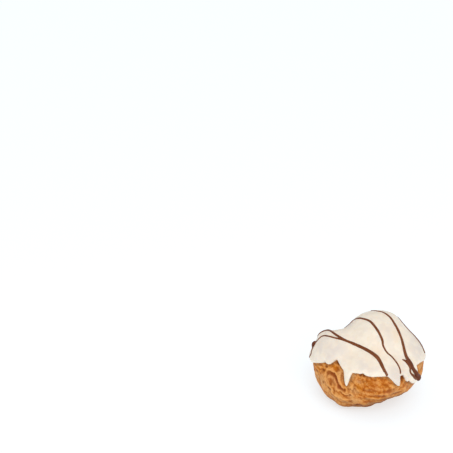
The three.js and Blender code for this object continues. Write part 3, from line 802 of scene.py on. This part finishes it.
def make_icing():
    """The icing: azimuth by its rows, outside on icing_height and inside BURY deep."""
    az = spaced_azimuths(ICING_COLUMNS)[None, :]
    outer, inner = (direction(np.broadcast_to(az, el.shape), el) for el in icing_rows(az))
    outside = points_above(outer, icing_height(outer))
    inside = points_above(inner, np.full(inner.shape[:-1], -BURY))
    summit = direction(0, 90)[None]
    first = points_above(summit, icing_height(summit))[0]
    last = points_above(summit, np.array([-BURY]))[0]
    every = np.concatenate([summit, outer.reshape(-1, 3), inner.reshape(-1, 3), summit])
    rings = np.concatenate([outside, inside])
    return ring_piece("icing_cap", first, rings, last, icing_tints(every))


# Drizzle --------------------------------------

SPAN_STEPS = 60  # points worked out between two given ones
STRAND_STEP = 0.3
STRAND_SIDES = 16
STRAND_UNEVEN = ((0.1, 1.8, 51),)  # strength, size and seed of the noise in its width
THICK = (0.7, 1.4)  # half widths between which the chocolate goes from thin to thick
END_ROUND = 1.2  # length of a strand's round end, in half widths
END_LEFT = 0.02  # square of the share of the width that is left at its tip


def through(points):
    """A centripetal Catmull-Rom curve through points: each span is a cubic whose end
    slopes come from its neighbours, timed by the square root of their distances."""
    points = np.asarray(points, float)
    before, after = 2 * points[0] - points[1], 2 * points[-1] - points[-2]
    p = np.concatenate([[before], points, [after]])
    gaps = np.sqrt(np.linalg.norm(np.diff(p, axis=0), axis=1)) + 1e-9
    t = np.linspace(0, 1, SPAN_STEPS, endpoint=False)[:, None]
    spans = []
    for k in range(len(points) - 1):
        a, b, c, e = p[k:k + 4]
        ta, tb, tc = gaps[k:k + 3]
        slope_b = ((b - a) / ta - (c - a) / (ta + tb) + (c - b) / tb) * tb
        slope_c = ((c - b) / tb - (e - b) / (tb + tc) + (e - c) / tc) * tb
        cube = 2 * b - 2 * c + slope_b + slope_c
        square = -3 * b + 3 * c - 2 * slope_b - slope_c
        spans.append(b + slope_b * t + square * t ** 2 + cube * t ** 3)
    return np.concatenate([*spans, points[-1:]])


def strand_line(points):
    """Directions along a strand, STRAND_STEP apart, and its half width at each."""
    az, el, half = np.array(points, float).T
    path = unit(through(direction(az, el)))
    widths = through(np.stack([half, 0 * half, 0 * half], axis=1))[:, 0]
    along = travelled(path)
    stops = np.linspace(0, along[-1], int(along[-1] * MEAN_RADIUS / STRAND_STEP))
    d = unit(np.stack([np.interp(stops, along, path[:, k]) for k in range(3)], axis=1))
    half = np.interp(stops, along, widths)
    return d, half * (1 + noises(d * MEAN_RADIUS, STRAND_UNEVEN))


def round_ends(centres, half):
    """Half widths that shrink as a quarter circle towards both ends."""
    along = travelled(centres)
    to_end = np.minimum(along, along[-1] - along)
    inward = 1 - np.clip(to_end / (half * END_ROUND), 0, 1)
    return half * np.sqrt(np.maximum(1 - inward ** 2, END_LEFT))


def strand_rings(points):
    """Rings of one strand, and how thick it lies at each from 0 to 1.

    An ellipse, STRAND_HEIGHT as high as it is wide, is carried along the strand's line on
    the icing, partly sunk in it.
    """
    d, half = strand_line(points)
    rise = half * STRAND_HEIGHT
    centres = points_above(d, np.maximum(icing_height(d) - STRAND_SINK * rise, GAP + rise))
    tangent = unit(np.gradient(centres, axis=0))
    side = unit(np.cross(tangent, centres - CENTRE))
    up = np.cross(side, tangent)
    angle = np.linspace(0, 2 * np.pi, STRAND_SIDES, endpoint=False)[None, :, None]
    across = np.cos(angle) * side[:, None] + np.sin(angle) * STRAND_HEIGHT * up[:, None]
    rings = centres[:, None] + across * round_ends(centres, half)[:, None, None]
    return rings, smooth(half, *THICK)


def make_drizzle():
    """All strands as one piece."""
    points, quads, triangles, thickness = [], [], [], []
    start = 0
    for stations in STRANDS.values():
        rings, thick = strand_rings(stations)
        thickness.append(np.concatenate([thick[:1], np.repeat(thick, STRAND_SIDES), thick[-1:]]))
        tips = rings[0].mean(0), rings[-1].mean(0)
        strand = np.concatenate([tips[0][None], rings.reshape(-1, 3), tips[1][None]])
        four, three = ring_faces(rings.shape[0], rings.shape[1])
        points.append(strand)
        quads.append(four + start)
        triangles.append(three + start)
        start += len(strand)
    return make_piece(
        "chocolate_drizzle", np.concatenate(points), np.concatenate(quads),
        np.concatenate(triangles), {"thick": np.concatenate(thickness)},
    )


# Shader helpers -------------------------------

def node(tree, kind, **settings):
    """A new node with the settings given."""
    made = tree.nodes.new(kind)
    for name, value in settings.items():
        setattr(made, name, value)
    return made


def set_inputs(target, values):
    """Sets sockets by name."""
    for name, value in values.items():
        target.inputs[name].default_value = value


def new_material(name):
    """An empty material with its output and a Principled BSDF."""
    material = bpy.data.materials.new(name)
    material.use_nodes = True
    tree = material.node_tree
    tree.nodes.clear()
    surface = node(tree, "ShaderNodeBsdfPrincipled")
    output = node(tree, "ShaderNodeOutputMaterial")
    tree.links.new(surface.outputs["BSDF"], output.inputs["Surface"])
    return material, tree, surface


def object_coordinates(tree):
    """Places in metres, the same on every piece, because each sits at the origin."""
    return node(tree, "ShaderNodeTexCoord").outputs["Object"]


def attribute(tree, name):
    """The number that the piece's mesh holds for each point under that name."""
    return node(tree, "ShaderNodeAttribute", attribute_name=name).outputs["Fac"]


def math_node(tree, operation, first, second, clamp=False):
    """One operation on two values, each a socket or a number."""
    made = node(tree, "ShaderNodeMath", operation=operation, use_clamp=clamp)
    for socket, value in zip(made.inputs, (first, second)):
        if isinstance(value, (int, float)):
            socket.default_value = value
        else:
            tree.links.new(value, socket)
    return made.outputs[0]


def mix_colour(tree, share, low, high):
    """A colour between low and high, each a socket or a colour."""
    made = node(tree, "ShaderNodeMix", data_type="RGBA")
    tree.links.new(share, made.inputs["Factor"])
    for name, value in (("A", low), ("B", high)):
        socket = next(s for s in made.inputs if s.name == name and s.type == "RGBA")
        if isinstance(value, tuple):
            socket.default_value = (*value, 1)
        else:
            tree.links.new(value, socket)
    return next(s for s in made.outputs if s.type == "RGBA")


def mottle_group():
    """Soft blotches from 0 to 1: noise of a size in metres, stretched between two levels."""
    group = bpy.data.node_groups.new("mottle", "ShaderNodeTree")
    face = group.interface
    face.new_socket("Vector", in_out="INPUT", socket_type="NodeSocketVector")
    for name, value in (("Size", 0.004), ("Detail", 3.0), ("Low", 0.35), ("High", 0.65)):
        face.new_socket(name, in_out="INPUT", socket_type="NodeSocketFloat").default_value = value
    face.new_socket("Mask", in_out="OUTPUT", socket_type="NodeSocketFloat")
    given = node(group, "NodeGroupInput")
    out = node(group, "NodeGroupOutput")
    noise = node(group, "ShaderNodeTexNoise")
    levels = node(group, "ShaderNodeMapRange", interpolation_type="SMOOTHSTEP")
    scale = math_node(group, "DIVIDE", 1.0, given.outputs["Size"])
    group.links.new(given.outputs["Vector"], noise.inputs["Vector"])
    group.links.new(scale, noise.inputs["Scale"])
    group.links.new(given.outputs["Detail"], noise.inputs["Detail"])
    group.links.new(noise.outputs["Fac"], levels.inputs["Value"])
    group.links.new(given.outputs["Low"], levels.inputs["From Min"])
    group.links.new(given.outputs["High"], levels.inputs["From Max"])
    group.links.new(levels.outputs["Result"], out.inputs["Mask"])
    return group


MOTTLE = mottle_group()


def mottle(tree, vector, size, detail=3.0, low=0.35, high=0.65):
    """The mask of the mottle group with these values."""
    made = node(tree, "ShaderNodeGroup", node_tree=MOTTLE)
    tree.links.new(vector, made.inputs["Vector"])
    set_inputs(made, {"Size": size, "Detail": detail, "Low": low, "High": high})
    return made.outputs["Mask"]


def bump(tree, surface, height, strength, distance):
    """Shaded relief from a mask, up to a distance in metres."""
    made = node(tree, "ShaderNodeBump")
    set_inputs(made, {"Strength": strength, "Distance": distance})
    tree.links.new(height, made.inputs["Height"])
    tree.links.new(made.outputs["Normal"], surface.inputs["Normal"])


# Materials ------------------------------------

CRUST_TAN = (0.68, 0.29, 0.072)
CRUST_GOLD = (0.58, 0.19, 0.022)
CRUST_BROWN = (0.43, 0.10, 0.003)
# peach of the painted highlights on ridges and along the pale lines
CRUST_PEACH_HIGHLIGHT = (0.82, 0.4, 0.122)
CRUST_TINTS = (  # mask, how much of the colour there is at most, colour: each over the last
    ("dusty", 0.6, (0.62, 0.36, 0.16)),
    ("ochre", 0.85, (0.58, 0.195, 0.002)),
    ("rust", 0.9, (0.44, 0.135, 0.05)),
    # painted highlight on ridges, then painted shade in hollows
    ("painted_ridge_highlight", 0.68, CRUST_PEACH_HIGHLIGHT),
    ("painted_hollow_shade", 0.78, (0.28, 0.068, 0.004)),
    ("fleck", 0.6, CRUST_BROWN),
    # pale lines: painted highlight along ridges, and paler streaks of crust
    ("pale", 0.78, CRUST_PEACH_HIGHLIGHT),
    # dark lines: partly cracks, partly painted shade in crevices and a painted contact shadow
    # along the bottom
    ("crack_and_shade", 0.85, (0.25, 0.045, 0.006)),
    # painted shade on the faces that point down
    ("under", 0.62, (0.19, 0.085, 0.03)),
    # painted shade on the crust just below the icing's edge
    ("rim", 0.62, (0.20, 0.085, 0.03)),
    # painted shade in the pits, nearly black
    ("burst", 0.95, (0.19, 0.042, 0.001)),
)
SPECKLE = 0.6  # how much browner its specks are than the places between them
ICING_CREAM = (0.875, 0.785, 0.66)
# greyer colour of the icing, partly painted shade
ICING_COOL_SHADE = (0.73, 0.65, 0.58)
ICING_WARM = (0.83, 0.69, 0.53)
COOL_BLOTCH, COOL_LESS = 0.55, 0.22  # added by blotches, and taken off everywhere
WARM_PATCH, WARM_BLOTCH = 0.75, 0.35
CHOCOLATE = (0.16, 0.043, 0.009)
CHOCOLATE_PALE = (0.21, 0.064, 0.02)
CHOCOLATE_THICK = (0.10, 0.017, 0.003)
THICK_DARK = 0.8


def scaled(tree, mask, amount):
    """A mask times a number, kept from 0 to 1."""
    return math_node(tree, "MULTIPLY", mask, amount, clamp=True)


def roughness(tree, surface, mask, low, high):
    """Roughness from low to high where the mask goes from 0 to 1."""
    levels = node(tree, "ShaderNodeMapRange")
    set_inputs(levels, {"To Min": low, "To Max": high})
    tree.links.new(mask, levels.inputs["Value"])
    tree.links.new(levels.outputs["Result"], surface.inputs["Roughness"])


def crust_material():
    """Baked choux: tan to orange-brown with how far it is baked, with dusty pale and deep
    yellow places, a painted highlight on ridges and pale lines, painted shade in hollows, reddish
    where cracks bare the dough, dark cracks that are partly painted shade, a painted contact
    shadow along the bottom, painted shade underneath and beside the icing, and painted shade,
    nearly black, in burst blisters."""
    material, tree, surface = new_material("choux_crust")
    place = object_coordinates(tree)
    speckle = scaled(tree, mottle(tree, place, 0.0014, detail=4.0), SPECKLE)
    share = math_node(tree, "ADD", attribute(tree, "baked"), speckle)
    share = math_node(tree, "SUBTRACT", share, SPECKLE / 2, clamp=True)
    ramp = node(tree, "ShaderNodeValToRGB")
    stops = ramp.color_ramp.elements
    stops[0].position, stops[0].color = 0.15, (*CRUST_TAN, 1)
    stops[1].position, stops[1].color = 0.85, (*CRUST_BROWN, 1)
    stops.new(0.45).color = (*CRUST_GOLD, 1)
    tree.links.new(share, ramp.inputs["Fac"])
    colour = ramp.outputs["Color"]
    fleck = mottle(tree, place, 0.0006, detail=5.0, low=0.53, high=0.68)
    for name, amount, tint in CRUST_TINTS:
        mask = fleck if name == "fleck" else attribute(tree, name)
        colour = mix_colour(tree, scaled(tree, mask, amount), colour, tint)
    tree.links.new(colour, surface.inputs["Base Color"])
    roughness(tree, surface, mottle(tree, place, 0.0016), low=0.45, high=0.7)
    grain = mottle(tree, place, 0.0005, detail=5.0, low=0.2, high=0.8)
    bump(tree, surface, grain, strength=0.4, distance=0.00015)
    set_inputs(surface, {"Specular IOR Level": 0.1})
    return material


def icing_material():
    """Poured icing: creamy white with greyer patches that are partly painted shade, yellower
    patches, satin, and light goes a little way into it."""
    material, tree, surface = new_material("icing")
    place = object_coordinates(tree)
    uneven = mottle(tree, place, 0.004, detail=5.0, low=0.38, high=0.62)
    # greyer patches and blotches, partly painted shade
    cool_and_shade = math_node(tree, "ADD", attribute(tree, "cool_and_shade"), scaled(tree, uneven, COOL_BLOTCH))
    cool_and_shade = math_node(tree, "SUBTRACT", cool_and_shade, COOL_LESS, clamp=True)
    colour = mix_colour(tree, cool_and_shade, ICING_CREAM, ICING_COOL_SHADE)
    blush = mottle(tree, place, 0.0026, detail=4.0, low=0.45, high=0.7)
    warm = scaled(tree, attribute(tree, "warm"), WARM_PATCH)
    warm = math_node(tree, "ADD", warm, scaled(tree, blush, WARM_BLOTCH), clamp=True)
    tree.links.new(mix_colour(tree, warm, colour, ICING_WARM), surface.inputs["Base Color"])
    roughness(tree, surface, mottle(tree, place, 0.004), low=0.4, high=0.52)
    ripples = mottle(tree, place, 0.0012, detail=2.0, low=0.2, high=0.8)
    bump(tree, surface, ripples, strength=0.06, distance=0.0002)
    set_inputs(surface, {
        "Specular IOR Level": 0.35, "Subsurface Weight": 0.2, "Subsurface Scale": 0.0012,
        "Subsurface Radius": (1.0, 0.75, 0.55),
    })
    return material


def chocolate_material():
    """Set milk chocolate: brown with paler streaks, darker where it lies thick, satin."""
    material, tree, surface = new_material("chocolate")
    place = object_coordinates(tree)
    pale = mottle(tree, place, 0.003, detail=2.0, low=0.4, high=0.7)
    colour = mix_colour(tree, pale, CHOCOLATE, CHOCOLATE_PALE)
    thick = scaled(tree, attribute(tree, "thick"), THICK_DARK)
    colour = mix_colour(tree, thick, colour, CHOCOLATE_THICK)
    tree.links.new(colour, surface.inputs["Base Color"])
    roughness(tree, surface, mottle(tree, place, 0.002), low=0.36, high=0.5)
    ripples = mottle(tree, place, 0.0008, detail=2.0, low=0.2, high=0.8)
    bump(tree, surface, ripples, strength=0.1, distance=0.0001)
    set_inputs(surface, {"Specular IOR Level": 0.22})
    return material


def floor_material():
    """A plain pale table top that glows a little, so that shadows on it stay faint."""
    material, _, surface = new_material("floor")
    set_inputs(surface, {
        "Base Color": (0.44, 0.5, 0.545, 1), "Roughness": 0.9, "Specular IOR Level": 0,
        "Emission Color": (1, 1, 1, 1), "Emission Strength": 0.6,
    })
    return material


# Floor, light and camera ----------------------

FLOOR_HALF = 4.0  # metres from its middle to its sides
SURROUND = 0.76  # strength of the white surround
KEY_PLACE = np.array([0.16, -0.62, 0.58])  # in metres
KEY_TARGET = np.array([0, 0, 0.02])
KEY_SIZE, KEY_POWER = 0.6, 2.8  # metres and watts


def make_floor():
    """A square table top under the puff."""
    mesh = bpy.data.meshes.new("floor")
    sides = (-FLOOR_HALF, FLOOR_HALF)
    mesh.from_pydata([(x, y, 0) for y in sides for x in sides], [], [(0, 1, 3, 2)])
    mesh.materials.append(floor_material())
    floor = bpy.data.objects.new("floor", mesh)
    bpy.context.scene.collection.objects.link(floor)


def make_key_light():
    """A large weak square light in front, above and a little to the right."""
    light = bpy.data.lights.new("key", "AREA")
    light.shape = "SQUARE"
    light.size = KEY_SIZE
    light.energy = KEY_POWER
    item = bpy.data.objects.new("key", light)
    item.location = KEY_PLACE
    away = KEY_PLACE - KEY_TARGET
    away = away / np.linalg.norm(away)
    item.rotation_euler = (math.acos(away[2]), 0, math.atan2(away[0], -away[1]))
    bpy.context.scene.collection.objects.link(item)


def make_lights():
    """An even white surround and the key light."""
    scene = bpy.context.scene
    scene.world = bpy.data.worlds.new("studio")
    scene.world.use_nodes = True
    background = scene.world.node_tree.nodes["Background"]
    set_inputs(background, {"Color": (1, 1, 1, 1), "Strength": SURROUND})
    scene.view_settings.view_transform = "Standard"
    make_key_light()


IMAGE_SIZE = 453  # pixels along each side of the frame
LENS, SENSOR = 105.0, 36.0  # focal length and sensor width in mm
AIM = np.array([0.0, -1.1, 19.0])  # a point in the middle of the puff
AIM_PIXEL = (367.5, 358.6)  # pixels from the frame's left and top to that point
LIFT = 32.0  # elevation from which the puff is seen
PIXELS_PER_MM = 2.155  # at that point


def make_camera():
    """A long lens, LIFT above the puff, with AIM at AIM_PIXEL and no shift.

    The distance is the focal length in pixels over PIXELS_PER_MM. The pitch and yaw
    are those that bring AIM to AIM_PIXEL with the frame level.
    """
    focal = LENS / SENSOR * IMAGE_SIZE
    right_px = AIM_PIXEL[0] - IMAGE_SIZE / 2
    down_px = AIM_PIXEL[1] - IMAGE_SIZE / 2
    lift = math.radians(LIFT)
    place = AIM + np.array([0, -math.cos(lift), math.sin(lift)]) * focal / PIXELS_PER_MM
    reach = math.sqrt(focal ** 2 + right_px ** 2 + down_px ** 2)
    flat = math.hypot(focal, down_px)
    pitch = math.asin(math.sin(lift) * reach / flat) - math.atan2(down_px, focal)
    yaw = math.atan2(right_px, focal * math.cos(pitch) - down_px * math.sin(pitch))
    camera = bpy.data.cameras.new("camera")
    camera.lens = LENS
    camera.sensor_width = SENSOR
    item = bpy.data.objects.new("camera", camera)
    item.location = place * MM
    item.rotation_euler = (math.pi / 2 - pitch, 0, yaw)
    bpy.context.scene.collection.objects.link(item)
    bpy.context.scene.camera = item


# The puff -------------------------------------

def dress(piece, material, node_name):
    """Gives a piece its finish and has it stand for a solid."""
    piece.data.materials.append(material)
    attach(piece, "root")
    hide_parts(node_name)


make_camera()
make_floor()
make_lights()
dress(make_crust(), crust_material(), "pastry")
dress(make_icing(), icing_material(), "icing")
dress(make_drizzle(), chocolate_material(), "icing")
